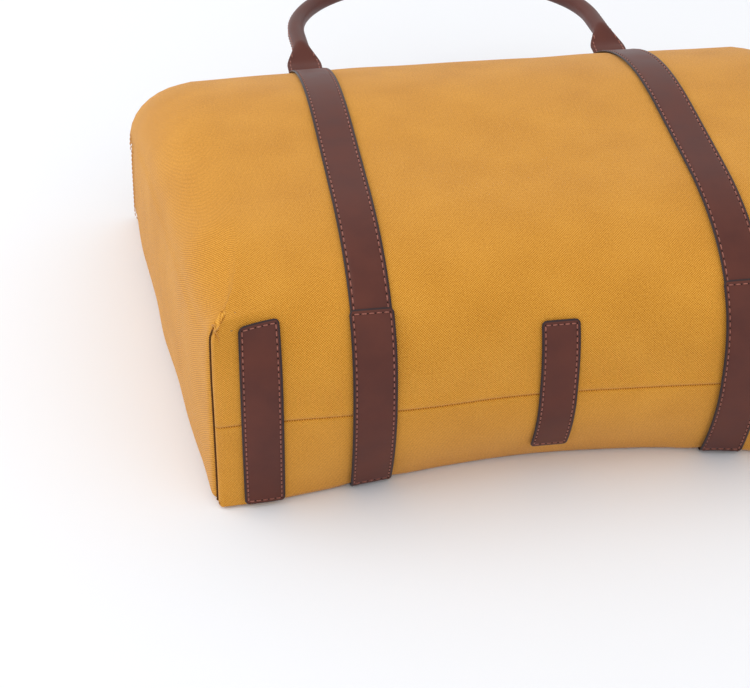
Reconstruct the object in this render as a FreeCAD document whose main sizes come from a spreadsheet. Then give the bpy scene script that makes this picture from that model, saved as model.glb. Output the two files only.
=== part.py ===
"""Padded laptop carrying sleeve with a boxed bottom, lying on its back.

The case is a soft canvas box: a bottom with a seam along its middle, a front
panel that runs round both sides without a seam, a back panel, foam, a lining
and a recessed zip closure.  Leather straps run up the front and the back and
end in rolled handles.  X runs along the bottom, Y from the bottom to the
mouth, Z up from the surface that the back straps lie on.  The origin is the
middle of the whole outline, handles included, on that surface.
"""
import FreeCAD, Part
import math
import os
import Sketcher
from FreeCAD import Placement, Rotation, Vector

doc = FreeCAD.newDocument("LaptopSleeve")

# ---------------------------------------------------------------- sizes, mm
SIZES = {
    # the case
    "case_height": 300.0,        # bottom face to mouth
    "bottom_width": 368.0,       # between the two corner seams
    "mouth_width": 430.0,        # across the mouth
    "crown_z": 139.0,            # thickest place of the filled case
    "crown_y": 160.0,            # where that place is
    "mouth_top_z": 100.0,        # front rim of the mouth
    "rest_z": 2.4,               # outer face of the back panel
    "seam_z": 62.0,              # seam along the middle of the bottom
    "front_turn": 100.0,         # how far the front takes to turn up to the crown
    "back_turn": 12.0,           # how far the bottom takes to turn down to the back
    "under_rest": 17.0,          # roundness of the side that the surface flattens
    "corner_round": 44.0,        # roundness between the sides and the front
    # layers, from the outside in
    "canvas_wall": 1.5,
    "foam_wall": 5.0,
    "lining_wall": 0.8,
    "pocket_wall": 0.8,
    "back_seam_z": 10.0,         # seam between the sides and the back panel
    "hem_depth": 20.0,
    "hem_edge": 2.0,             # lining stops this far below the rim
    # leather
    "strap_width": 22.0,
    "leather_wall": 2.4,
    "strap_spread": 200.0,       # between the middles of the two straps
    "tab_margin": 25.0,          # from a corner tab's middle to the corner seam
    "tab_height": 116.0,
    "centre_tab_width": 21.0,
    "centre_tab_height": 90.0,
    "tab_reach": 60.0,           # no tab goes further up the case than this
    "strap_stop": 3.0,           # straps end this far below the rim
    # handles
    "handle_gap": 0.8,           # from the rim to a handle
    "handle_flat": 22.0,         # flat end of each leg
    "handle_rise": 30.0,         # straight rolled part of each leg
    "handle_round": 5.5,         # radius of the rolled leather
    "front_droop": 8.0,          # degrees below level
    # zip closure
    "closure_recess": 0.7,
    "panel_wall": 1.6,
    "mouth_margin": 31.5,        # from a panel's end to the side of the mouth
    "zip_opening": 10.0,         # between the two panel edges
    "fold_gap": 1.2,             # from a panel's fold line to the mouth
    "end_gap": 0.4,              # from a panel's end to the end panel
    "tape_wall": 0.6,
    "tape_lap": 9.0,             # tape that lies under a panel
    "chain_wall": 2.2,
    "chain_width": 2.2,
    "chain_gap": 1.2,
    "slot_length": 20.0,         # slot in an end panel, where the slider parks
    "stop_length": 2.0,
    "slider_length": 12.0,
    "slider_width": 8.8,
    "slider_plate": 1.4,
    "slider_clear": 0.3,
    "neck_width": 0.6,
    "park_depth": 8.1,           # how far the parked slider stands in its slot
    "lug_height": 3.4,
    "lug_gap": 3.6,
    "lug_wall": 1.3,
    "pin_round": 0.7,
    "pin_clear": 0.08,
    "eye_wall": 0.9,
    "pull_length": 15.0,
    "pull_width": 6.4,
    "pull_wall": 1.4,
    "pull_leather_length": 30.0,
    "pull_leather_width": 9.0,
    "pull_leather_wall": 3.0,
    # inside
    "divider_y": 20.0,
    "divider_z": 30.0,
    "divider_wall": 6.0,
    "divider_drop": 55.0,        # from the rim to the divider's top
    "binding_wall": 1.2,
    "binding_depth": 10.0,
    "pocket_width": 190.0,
    "pocket_drop": 85.0,         # from the rim to the pocket's mouth
    "pocket_depth": 120.0,
}
# Stations of the case's sections, as shares of its height; the last one lies past the rim.
STATIONS = (0.0, 0.015, 0.04, 0.085, 0.16, 0.3, 0.48, 0.68, 0.85, 1.0, 1.05)
FAR = 600.0                      # reach of the plain boxes that cut regions out
BELOW = 50.0                     # and how far they start below the case or its bottom
SLOT_REACH = 20.0                # reach of a slot's cutting box through its panel

sheet = doc.addObject("Spreadsheet::Sheet", "Sizes")
for row, (alias, value) in enumerate(SIZES.items(), start=1):
    sheet.set(f"A{row}", alias)
    sheet.set(f"B{row}", str(value))
    sheet.setAlias(f"B{row}", alias)
doc.recompute()

# Worked out from the sizes above: each name stands for an expression.
WORKED = {
    "origin_y": "((case_height + handle_gap + handle_flat + handle_rise"
                " + strap_spread / 2 + handle_round - leather_wall) / 2)",
    "foam_inset": "(canvas_wall + foam_wall)",
    "inner_inset": "(canvas_wall + foam_wall + lining_wall)",
    "closure_low": "(rest_z + canvas_wall + foam_wall + lining_wall + fold_gap)",
    "closure_high": "(mouth_top_z - canvas_wall - foam_wall - lining_wall - 2.6 * fold_gap)",
    "panel_top": "(case_height - closure_recess)",
    "slider_park": "(end_x + park_depth)",
    "end_x": "(panel_width / 2 + end_gap)",
    "panel_width": "(mouth_width - 2 * mouth_margin)",
    "tab_spread": "(bottom_width - 2 * tab_margin)",
    "divider_top": "(case_height - divider_drop)",
    "pocket_low": "(pocket_high - pocket_depth)",
    "pocket_high": "(case_height - pocket_drop)",
    "lug_top": "(slider_plate + lug_height)",
}


def worked(expression):
    """The expression with each worked-out name written out."""
    for name, meaning in WORKED.items():
        expression = expression.replace(name, meaning)
    return expression


NODES = []


def sized(expression):
    """The expression with each size's name pointing into the sheet."""
    words, word = [], ""
    for letter in worked(expression) + " ":
        if letter.isalnum() or letter == "_":
            word += letter
            continue
        words.append(f"Sizes.{word}" if word in SIZES else word)
        words.append(letter)
        word = ""
    return "".join(words).strip()


def value_of(expression):
    return float(sheet.evalExpression(sized(expression)))


def bind(thing, prop, expression):
    thing.setExpression(prop, sized(expression))


def node(thing, name):
    """Marks a finished sub-part: its label is its node's name."""
    thing.Label = name
    NODES.append(thing)
    return thing


# ------------------------------------------------------------ plain helpers
def box(name, x, y, z):
    """A box between two expressions on each axis, Y measured from the bottom face."""
    made = doc.addObject("Part::Box", name)
    for side, axis, (low, high) in zip(("Length", "Width", "Height"), "xyz", (x, y, z)):
        bind(made, side, f"({high}) - ({low})")
        shift = " - origin_y" if axis == "y" else ""
        bind(made, f"Placement.Base.{axis}", f"({low}){shift}")
    return made


def cylinder(name, radius, length, base, axis):
    """A cylinder from a base point, given as expressions, along a row axis."""
    made = doc.addObject("Part::Cylinder", name)
    bind(made, "Radius", radius)
    bind(made, "Height", length)
    made.Placement = Placement(Vector(), Rotation(Vector(0, 0, 1), axis))
    for letter, place in zip("xyz", base):
        bind(made, f"Placement.Base.{letter}", place)
    return made


def common(name, one, other):
    made = doc.addObject("Part::Common", name)
    made.Base, made.Tool = one, other
    return made


def cut(name, base, tool):
    made = doc.addObject("Part::Cut", name)
    made.Base, made.Tool = base, tool
    return made


def fuse(name, *things):
    made = doc.addObject("Part::MultiFuse", name)
    made.Shapes = list(things)
    return made


# ------------------------------------------------------- the case's outline
def half_width(y):
    flare = f"(mouth_width - bottom_width) / 2 * ({y} / case_height) ^ 0.8"
    return f"(bottom_width / 2 + {flare})"


def front_z(y):
    """Height of the front panel above the surface, y from the bottom face."""
    turn = (f"seam_z + (crown_z - seam_z) * "
            f"(1 - (1 - min({y}; front_turn) / front_turn) ^ 2.2) ^ 0.3185")
    fall = (f"(crown_z - mouth_top_z) * "
            f"(max({y} - crown_y; 0) / (case_height - crown_y)) ^ 2.4")
    return f"({turn} - {fall})"


def back_z(y):
    turn = f"seam_z - (seam_z - rest_z) * sqrt({y} / back_turn)"
    return f"max({turn}; rest_z - under_rest)"


def corner(y):
    return f"(2 + corner_round * {y} / ({y} + 30))"


def section(name, share, inset):
    """One rounded rectangle across the case, that far inside its outer face."""
    along = f"(case_height * {share})"
    y = f"max({along}; 0.6)"
    made = doc.addObject("Sketcher::SketchObject", name)
    made.Placement = Placement(Vector(), Rotation(Vector(1, 0, 0), 90))
    bind(made, "Placement.Base.y",
         f"{inset} + {along} * (case_height - ({inset})) / case_height - origin_y")
    side = f"{half_width(y)} - ({inset})"
    low = f"{back_z(y)} + ({inset})"
    high = f"{front_z(y)} - ({inset})"
    radius = f"max({corner(y)} - ({inset}); 1)"
    a, b, c, r = (value_of(e) for e in (side, low, high, radius))
    corners = [(a - r, b + r, -90), (a - r, c - r, 0), (r - a, c - r, 90), (r - a, b + r, 180)]
    for x, z, start in corners:
        circle = Part.Circle(Vector(x, z, 0), Vector(0, 0, 1), r)
        made.addGeometry(Part.ArcOfCircle(circle, math.radians(start), math.radians(start + 90)), False)
    ends = [((a, b + r), (a, c - r)), ((a - r, c), (r - a, c)),
            ((-a, c - r), (-a, b + r)), ((r - a, b), (a - r, b))]
    for start, end in ends:
        made.addGeometry(Part.LineSegment(Vector(*start, 0), Vector(*end, 0)), False)
    rules = []
    for i in range(4):
        rules.append(("Tangent", i, 2, 4 + i, 1))
        rules.append(("Tangent", 4 + i, 2, (i + 1) % 4, 1))
    rules += [("Vertical", 4), ("Horizontal", 5), ("Vertical", 6), ("Horizontal", 7)]
    rules += [("Equal", 0, i) for i in range(1, 4)]
    for what in rules:
        made.addConstraint(Sketcher.Constraint(*what))
    named = (("radius", ("Radius", 0, r), radius),
             ("right", ("DistanceX", -1, 1, 4, 1, a), side),
             ("left", ("DistanceX", 6, 1, -1, 1, a), side),
             ("high", ("DistanceY", -1, 1, 5, 1, c), high),
             ("low", ("DistanceY", -1, 1, 7, 1, b), low))
    for label, what, expression in named:
        index = made.addConstraint(Sketcher.Constraint(*what))
        made.renameConstraint(index, label)
        bind(made, f"Constraints.{label}", expression)
    return made


def case_solid(name, inset):
    """The case as a solid that far inside its outer face, flat where it lies."""
    loft = doc.addObject("Part::Loft", name + "Loft")
    loft.Sections = [section(f"{name}Section{i}", share, inset)
                     for i, share in enumerate(STATIONS)]
    loft.Solid = True
    loft.Ruled = True
    lying = box(name + "Lying", (f"-{FAR}", f"{FAR}"), (f"-{BELOW}", f"{FAR}"),
                (f"rest_z + ({inset})", f"{FAR}"))
    return common(name, loft, lying)


# --------------------------------------------------------------- the layers
OVER = case_solid("OverLeather", "-leather_wall")
OUTER = case_solid("Outer", "0")
UNDER = case_solid("UnderCanvas", "canvas_wall")
PADDED = case_solid("UnderFoam", "foam_inset")
INNER = case_solid("Inner", "inner_inset")

UP_TO_RIM = box("UpToRim", (f"-{FAR}", f"{FAR}"), (f"-{BELOW}", "case_height"), (f"-{BELOW}", f"{FAR}"))
UP_TO_HEM = box("UpToHem", (f"-{FAR}", f"{FAR}"), (f"-{BELOW}", "case_height - hem_edge"),
                (f"-{BELOW}", f"{FAR}"))
UP_TO_FACING = box("UpToFacing", (f"-{FAR}", f"{FAR}"), (f"-{BELOW}", "case_height - hem_depth"),
                   (f"-{BELOW}", f"{FAR}"))


def back_region(name, edge):
    """Space below the bottom's middle seam and below the seam between sides and back."""
    below = box(name + "Below", (f"-{FAR}", f"{FAR}"), (f"-{BELOW}", f"{FAR}"), (f"-{BELOW}", edge))
    bottom = box(name + "Bottom", (f"-{FAR}", f"{FAR}"), (f"-{BELOW}", "back_turn"),
                 (f"-{BELOW}", "seam_z"))
    return fuse(name, below, bottom)


def layer_pair(name, outside, inside, up_to, front, back):
    """One layer of the case, split into its front with the sides and its back."""
    shell = cut(name + "Shell", common(name + "Length", outside, up_to), inside)
    region = back_region(name + "Region", "back_seam_z")
    node(cut(name + "Front", shell, region), front)
    node(common(name + "Back", shell, region), back)


layer_pair("Canvas", OUTER, UNDER, UP_TO_RIM, "front_panel", "back_panel")
layer_pair("Foam", UNDER, PADDED, UP_TO_HEM, "front_foam", "back_foam")
node(cut("Lining", common("LiningLength", PADDED, UP_TO_FACING), INNER), "lining")

# The facing covers the foam's edge at the rim and the top of the lining.
RIM = cut("RimBand", UP_TO_RIM, UP_TO_HEM)
HEM = cut("HemBand", UP_TO_HEM, UP_TO_FACING)
EDGE = cut("FacingEdge", common("EdgeLength", UNDER, RIM), INNER)
FALL = cut("FacingFall", common("FallLength", PADDED, HEM), INNER)
node(fuse("Facing", EDGE, FALL), "mouth_facing")

# ------------------------------------------------------------------ leather
LEATHER = cut("LeatherLayer", common("LeatherLength", OVER, UP_TO_RIM), OUTER)


def across(middle, width):
    return (f"{middle} - {width} / 2", f"{middle} + {width} / 2")


def about_seam(height):
    return (f"seam_z - {height} / 2", f"seam_z + {height} / 2")


def wrapped_tab(name, middle, width, height, label):
    """A tab of leather that wraps the bottom, half above and half below its seam."""
    place = box(name + "Place", across(middle, width), (f"-{BELOW}", "tab_reach"),
                about_seam(height))
    node(common(name, LEATHER, place), label)
    return place


for side, sign in (("left", "-"), ("right", "+")):
    title = side.title()
    wrapped_tab("CornerTab" + title, f"0 {sign} tab_spread / 2", "strap_width", "tab_height",
                "corner_tab_" + side)
    middle = f"0 {sign} strap_spread / 2"
    patch = wrapped_tab("Patch" + title, middle, "strap_width", "tab_height",
                        "bottom_patch_" + side)
    reach = (f"-{BELOW}", "case_height - strap_stop")
    for face, height in (("front", ("seam_z", f"{FAR}")), ("back", (f"-{BELOW}", "seam_z"))):
        name = face.title() + "Strap" + title
        place = box(name + "Place", across(middle, "strap_width"), reach, height)
        strip = common(name + "Strip", LEATHER, place)
        node(cut(name, strip, patch), f"{face}_strap_{side}")
wrapped_tab("CentreTab", "0", "centre_tab_width", "centre_tab_height", "centre_tab")


# ------------------------------------------------------------------ handles
def handle(name, hinge_z, droop, label):
    """Two flat ends, two straight rolled legs and a half ring, lying along Y."""
    pieces = []
    for side, sign in (("Left", "-"), ("Right", "+")):
        flat = doc.addObject("Part::Box", name + "Flat" + side)
        bind(flat, "Length", "strap_width")
        bind(flat, "Width", "handle_flat + handle_round")
        bind(flat, "Height", "leather_wall")
        bind(flat, "Placement.Base.x", f"0 {sign} strap_spread / 2 - strap_width / 2")
        leg = doc.addObject("Part::Cylinder", name + "Leg" + side)
        bind(leg, "Radius", "handle_round")
        bind(leg, "Height", "handle_rise")
        leg.Placement = Placement(Vector(), Rotation(Vector(1, 0, 0), -90))
        bind(leg, "Placement.Base.x", f"0 {sign} strap_spread / 2")
        bind(leg, "Placement.Base.y", "handle_flat")
        bind(leg, "Placement.Base.z", "handle_round")
        pieces += [flat, leg]
    ring = doc.addObject("Part::Torus", name + "Ring")
    bind(ring, "Radius1", "strap_spread / 2")
    bind(ring, "Radius2", "handle_round")
    ring.Angle3 = 180
    bind(ring, "Placement.Base.y", "handle_flat + handle_rise")
    bind(ring, "Placement.Base.z", "handle_round")
    made = fuse(name, *pieces, ring)
    made.Placement = Placement(Vector(), Rotation(Vector(-1, 0, 0), 1))
    bind(made, "Placement.Rotation.Angle", droop)
    bind(made, "Placement.Base.y", "case_height + handle_gap - origin_y")
    bind(made, "Placement.Base.z", hinge_z)
    node(made, label)


handle("BackHandle", "0", "0", "back_handle")
handle("FrontHandle", "mouth_top_z", "front_droop", "front_handle")

# -------------------------------------------------------------- zip closure
ZIP_Z = "((closure_low + closure_high) / 2)"
PANEL_Y = ("panel_top - panel_wall", "panel_top")
TAPE_Y = ("panel_top - panel_wall - tape_wall", "panel_top - panel_wall")
CHAIN_MIDDLE = "(panel_top - panel_wall - tape_wall / 2)"
CHAIN_Y = (f"{CHAIN_MIDDLE} - chain_wall / 2", f"{CHAIN_MIDDLE} + chain_wall / 2")
WIDE = ("-panel_width / 2", "panel_width / 2")


def mirrored(sign, near, far):
    """The stretch between two distances above or below the zip's middle."""
    one, other = f"{ZIP_Z} {sign} ({near})", f"{ZIP_Z} {sign} ({far})"
    return (one, other) if sign == "+" else (other, one)


half = "(closure_high - closure_low) / 2"
for side, sign in (("front", "+"), ("back", "-")):
    title = side.title()
    node(box(title + "ZipPanel", WIDE, PANEL_Y, mirrored(sign, "zip_opening / 2", half)),
         f"{side}_zip_panel")
    inner_edge = "chain_gap / 2 + chain_width"
    node(box(title + "ZipTape", WIDE, TAPE_Y,
             mirrored(sign, inner_edge, "zip_opening / 2 + tape_lap")), f"{side}_zip_tape")
    node(box(title + "ZipChain", WIDE, CHAIN_Y, mirrored(sign, "chain_gap / 2", inner_edge)),
         f"{side}_zip_chain")

for side, sign in (("left", -1), ("right", 1)):
    title = side.title()
    ends = [("end_x", f"{FAR}"), ("end_x", "end_x + slot_length"),
            ("end_x + slot_length - 2 * stop_length", "end_x + slot_length - stop_length")]
    if sign < 0:
        ends = [(f"-({far})", f"-({near})") for near, far in ends]
    whole = box("EndPlace" + title, ends[0], PANEL_Y, (f"-{BELOW}", f"{FAR}"))
    slot = box("EndSlot" + title, ends[1], (f"panel_top - {SLOT_REACH}", f"panel_top + {SLOT_REACH}"),
               (f"{ZIP_Z} - zip_opening / 2", f"{ZIP_Z} + zip_opening / 2"))
    node(cut("EndPanel" + title, common("EndFill" + title, whole, INNER), slot),
         "zip_end_panel_" + side)
    node(box("ZipStop" + title, ends[2], TAPE_Y,
             (f"{ZIP_Z} - zip_opening", f"{ZIP_Z} + zip_opening")), "zip_stop_" + side)

# The slider: two plates, a thin neck between the chains, two lugs and a pin.
PARK = ("slider_park - slider_length / 2", "slider_park + slider_length / 2")
PLATE_Z = (f"{ZIP_Z} - slider_width / 2", f"{ZIP_Z} + slider_width / 2")
TOP_Y = f"({CHAIN_MIDDLE} + chain_wall / 2 + slider_clear)"
LOW_Y = f"({CHAIN_MIDDLE} - chain_wall / 2 - slider_clear)"
top_plate = box("SliderTop", PARK, (TOP_Y, f"{TOP_Y} + slider_plate"), PLATE_Z)
low_plate = box("SliderLow", PARK, (f"{LOW_Y} - slider_plate", LOW_Y), PLATE_Z)
neck = box("SliderNeck", PARK, (LOW_Y, TOP_Y),
           (f"{ZIP_Z} - neck_width / 2", f"{ZIP_Z} + neck_width / 2"))
PIN_Y = f"({TOP_Y} + slider_plate + lug_height / 2)"
LUG_X = ("slider_park - lug_height / 2", "slider_park + lug_height / 2")
LUG_Y = (f"{TOP_Y} + slider_plate", f"{TOP_Y} + lug_top")
lugs = [box("SliderLug" + title, LUG_X, LUG_Y,
            mirrored(sign, "lug_gap / 2", "lug_gap / 2 + lug_wall"))
        for title, sign in (("Front", "+"), ("Back", "-"))]
pin = cylinder("SliderPin", "pin_round", "lug_gap + lug_wall",
               ("slider_park", f"{PIN_Y} - origin_y", f"{ZIP_Z} - (lug_gap + lug_wall) / 2"),
               Vector(0, 0, 1))
node(fuse("Slider", top_plate, low_plate, neck, *lugs, pin), "zip_slider")

# The pull: an eye round the pin, a metal plate and a leather grip, towards -X.
EYE = "(pin_round + pin_clear + eye_wall)"
EYE_LENGTH = "(lug_gap - 2 * slider_clear)"
eye = cylinder("PullEye", EYE, EYE_LENGTH,
               ("slider_park", f"{PIN_Y} - origin_y", f"{ZIP_Z} - {EYE_LENGTH} / 2"),
               Vector(0, 0, 1))
stem = box("PullStem", ("slider_park - pull_length / 2", "slider_park"),
           (f"{PIN_Y} - pull_wall / 2", f"{PIN_Y} + pull_wall / 2"),
           (f"{ZIP_Z} - {EYE_LENGTH} / 2", f"{ZIP_Z} + {EYE_LENGTH} / 2"))
plate = box("PullPlate", ("slider_park - pull_length", "slider_park - lug_height"),
            (f"{PIN_Y} - pull_wall / 2", f"{PIN_Y} + pull_wall / 2"),
            (f"{ZIP_Z} - pull_width / 2", f"{ZIP_Z} + pull_width / 2"))
bore = cylinder("PullBore", "pin_round + pin_clear", "lug_gap",
                ("slider_park", f"{PIN_Y} - origin_y", f"{ZIP_Z} - lug_gap / 2"),
                Vector(0, 0, 1))
pull = cut("Pull", fuse("PullBody", eye, stem, plate), bore)
node(pull, "zip_pull")
grip = box("GripBlock",
           ("slider_park - pull_length + slider_plate * 2 - pull_leather_length",
            "slider_park - pull_length + slider_plate * 2"),
           (f"{PIN_Y} - pull_leather_wall / 2", f"{PIN_Y} + pull_leather_wall / 2"),
           (f"{ZIP_Z} - pull_leather_width / 2", f"{ZIP_Z} + pull_leather_width / 2"))
node(cut("Grip", grip, plate), "pull_leather")

# ------------------------------------------------------------------- inside
WIDEST = (f"-{FAR}", f"{FAR}")
divider = box("DividerBlock", WIDEST, ("divider_y", "divider_top"),
              ("divider_z", "divider_z + divider_wall"))
node(common("Divider", divider, INNER), "divider")
bound = box("BindingBlock", WIDEST,
            ("divider_top - binding_depth", "divider_top + binding_wall"),
            ("divider_z - binding_wall", "divider_z + divider_wall + binding_wall"))
node(cut("Binding", common("BindingFill", bound, INNER), divider), "divider_binding")
POCKET = case_solid("UnderPocket", "inner_inset + lining_wall")
place = box("PocketPlace", ("-pocket_width / 2", "pocket_width / 2"),
            ("pocket_low", "pocket_high"), ("seam_z", f"{FAR}"))
node(common("SlipPocket", cut("PocketLayer", INNER, POCKET), place), "slip_pocket")

# ------------------------------------------------------------ check and write
doc.recompute()
for thing in doc.Objects:
    if "Invalid" in thing.State or "Error" in thing.State:
        raise RuntimeError(f"{thing.Name} did not build")
for thing in NODES:
    shape = thing.Shape
    if shape.isNull() or not shape.isValid() or not shape.Solids:
        raise RuntimeError(f"{thing.Label} has no sound shape")
os.makedirs("parts", exist_ok=True)
for thing in NODES:
    thing.Shape.exportStep(f"parts/{thing.Label}.step")
    span = thing.Shape.BoundBox
    print(f"{thing.Label:20s} {len(thing.Shape.Solids)} solids "
          f"x {span.XMin:.1f} {span.XMax:.1f} y {span.YMin:.1f} {span.YMax:.1f} "
          f"z {span.ZMin:.1f} {span.ZMax:.1f} volume {thing.Shape.Volume:.0f}")
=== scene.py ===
"""Soft mustard canvas laptop sleeve with leather straps, lying on its back on a pale table."""

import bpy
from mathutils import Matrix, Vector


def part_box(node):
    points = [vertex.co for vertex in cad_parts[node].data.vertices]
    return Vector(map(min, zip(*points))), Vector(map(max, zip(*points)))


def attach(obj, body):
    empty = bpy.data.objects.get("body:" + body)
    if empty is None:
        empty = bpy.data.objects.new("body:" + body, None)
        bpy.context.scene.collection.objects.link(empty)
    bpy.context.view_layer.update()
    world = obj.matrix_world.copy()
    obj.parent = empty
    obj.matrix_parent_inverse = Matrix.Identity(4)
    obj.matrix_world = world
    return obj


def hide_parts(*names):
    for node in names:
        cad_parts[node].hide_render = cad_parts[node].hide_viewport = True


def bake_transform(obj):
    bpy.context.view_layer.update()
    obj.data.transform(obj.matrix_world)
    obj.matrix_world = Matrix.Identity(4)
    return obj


bl_info = {
    "name": "Canvas Laptop Sleeve",
    "version": (1, 0, 0),
    "blender": (4, 5, 0),
    "location": "View3D > Sidebar > Sleeve",
    "description": "Makes a padded canvas laptop sleeve with leather straps",
    "category": "Add Mesh",
}

import bisect
import math

import bmesh
import bpy
from bpy.props import FloatProperty, PointerProperty
from mathutils import Matrix, Vector, noise

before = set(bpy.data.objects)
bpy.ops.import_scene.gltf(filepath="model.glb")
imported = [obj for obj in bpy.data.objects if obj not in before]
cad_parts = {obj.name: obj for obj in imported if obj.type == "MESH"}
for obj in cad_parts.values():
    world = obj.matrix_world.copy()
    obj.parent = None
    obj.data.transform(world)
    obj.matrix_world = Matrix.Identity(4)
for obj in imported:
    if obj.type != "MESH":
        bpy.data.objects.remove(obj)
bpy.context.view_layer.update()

MM = 0.001
PANEL_LOW, PANEL_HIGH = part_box("front_panel")
TAB_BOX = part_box("corner_tab_right")
CENTRE_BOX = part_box("centre_tab")
STRAP_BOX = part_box("front_strap_right")

# Shape of the filled case, in mm; y runs from the bottom face to the mouth.
BOTTOM_Y = PANEL_LOW[1] / MM                      # the bottom face, in the frame
HEIGHT = (PANEL_HIGH[1] - PANEL_LOW[1]) / MM      # bottom face to mouth
CROWN = PANEL_HIGH[2] / MM                        # thickest place
MOUTH_HALF = PANEL_HIGH[0] / MM                   # half the mouth's width
LYING = 0.9                                       # outer face of the back panel
SEAM_Z = (TAB_BOX[0][2] + TAB_BOX[1][2]) / 2 / MM  # seam along the middle of the bottom
BOTTOM_HALF = 184.0                               # centre to corner seam
CORNER_Y = 8.0                                    # corner seam from the bottom face
RIM_Z = 100.0                                     # front rim at the mouth
CROWN_Y = 160.0                                   # where the front starts to fall to the rim
TURN_Y = 100.0                                    # where the bottom has turned into the front
CORNER_TOP = 121.5                                # upper end of the corner seam
CORNER_SEAM_Z = 54.0                              # where the bottom seam meets it
CORNER_LOW_Y = 4.8                                # its lower end, from the bottom face
CORNER_REACH = 130.0                              # from here outwards the corners pull
DIP, DIP_HALF = 4.2, 95.0                         # hollow in the middle of the bottom
EDGE_IN, EDGE_SAG, EDGE_HALF = 5.6, 20.2, 170.0   # how far the lower edge runs in
CASE_MIDDLE = (0, HEIGHT / 2, 60)
STRAP_X = (STRAP_BOX[0][0] + STRAP_BOX[1][0]) / 2 / MM
TAB_X = (TAB_BOX[0][0] + TAB_BOX[1][0]) / 2 / MM
STRAP_WIDTH = (TAB_BOX[1][0] - TAB_BOX[0][0]) / MM
CENTRE_WIDTH = (CENTRE_BOX[1][0] - CENTRE_BOX[0][0]) / MM
LEATHER_WALL = 2.1
STITCH_INSET = 2.0                                # stitch line from a leather edge
TABLE_GAP = 0.2                                   # least height of leather over the table
PAINT_LAP = 0.8                                   # edge paint that runs onto the face
TAB_ROUND = 3.0                                   # roundness of a tab's corners
FOAM_REST = 1.6                                   # foam over the back panel's outer face
WELD = 0.00001                                    # points closer than this, in m, are one
TAB_PITCH = 3.63                                  # seven stitches to the inch
STRAP_PITCH = 4.69
WEAVE_PITCH = 0.66                                # one yarn, drawn a little coarse to show


# ---------------------------------------------------------------- properties
class SleeveSettings(bpy.types.PropertyGroup):
    """Sizes and the key light's power, which a user may change."""

    canvas_wall: FloatProperty(name="Canvas", description="Thickness of the canvas",
                               default=1.4 * MM, min=0.0005, unit="LENGTH")
    foam_wall: FloatProperty(name="Foam", description="Thickness of the padding",
                             default=4.6 * MM, min=0.001, unit="LENGTH")
    stitch_round: FloatProperty(name="Thread", description="Radius of the sewing thread",
                                default=0.36 * MM, min=0.0001, unit="LENGTH")
    key_power: FloatProperty(name="Key light", description="Power of the window light",
                             default=17.0, min=0, unit="POWER")


def settings():
    return bpy.context.scene.sleeve


# ------------------------------------------------------------- shape of case
def smooth(t):
    """Eases from 0 to 1."""
    t = min(max(t, 0.0), 1.0)
    return t * t * (3 - 2 * t)


def mix(a, b, t):
    return a + (b - a) * t


def front_profile():
    """The front's side view from the bottom seam to the mouth, as arc lengths and points."""
    points = []
    steps = 240
    for i in range(steps + 1):
        turn = math.pi / 2 * i / steps
        y = TURN_Y * (1 - math.cos(turn) ** (2 / 2.2))
        points.append((y, SEAM_Z + (CROWN - SEAM_Z) * math.sin(turn) ** (2 / 3.14)))
    y = TURN_Y
    while y < HEIGHT:
        y = min(y + 2.0, HEIGHT)
        fall = max(y - CROWN_Y, 0) / (HEIGHT - CROWN_Y)
        points.append((y, CROWN - (CROWN - RIM_Z) * fall ** 2.4))
    lengths = [0.0]
    for one, other in zip(points, points[1:]):
        lengths.append(lengths[-1] + math.dist(one, other))
    return lengths, points


LENGTHS, PROFILE = front_profile()
FRONT_END = LENGTHS[-1]                # arc length from the bottom seam to the front rim
FACE_END = -62.0                       # arc length from the bottom seam to the lower edge
BACK_END = FACE_END - (HEIGHT - 13.5)  # and on to the back rim
CORNER_S = 66.0                        # arc length where the corner seam ends


def on_profile(s):
    """Point of the front's side view at an arc length."""
    i = min(max(bisect.bisect_right(LENGTHS, s), 1), len(LENGTHS) - 1)
    t = (s - LENGTHS[i - 1]) / (LENGTHS[i] - LENGTHS[i - 1])
    return mix(PROFILE[i - 1][0], PROFILE[i][0], t), mix(PROFILE[i - 1][1], PROFILE[i][1], t)


def half_width(y):
    """Half the case's width, flaring from the corner seams to the mouth."""
    run = max(y - CORNER_Y, 0.0)
    flare = (MOUTH_HALF - BOTTOM_HALF) * (run / (HEIGHT - CORNER_Y)) ** 0.8
    return BOTTOM_HALF + flare


def lying(x):
    """Height of the back panel, which the back straps hold off the table."""
    return LYING + 1.5 * math.exp(-((abs(x) - STRAP_X) / 15) ** 4)


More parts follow.
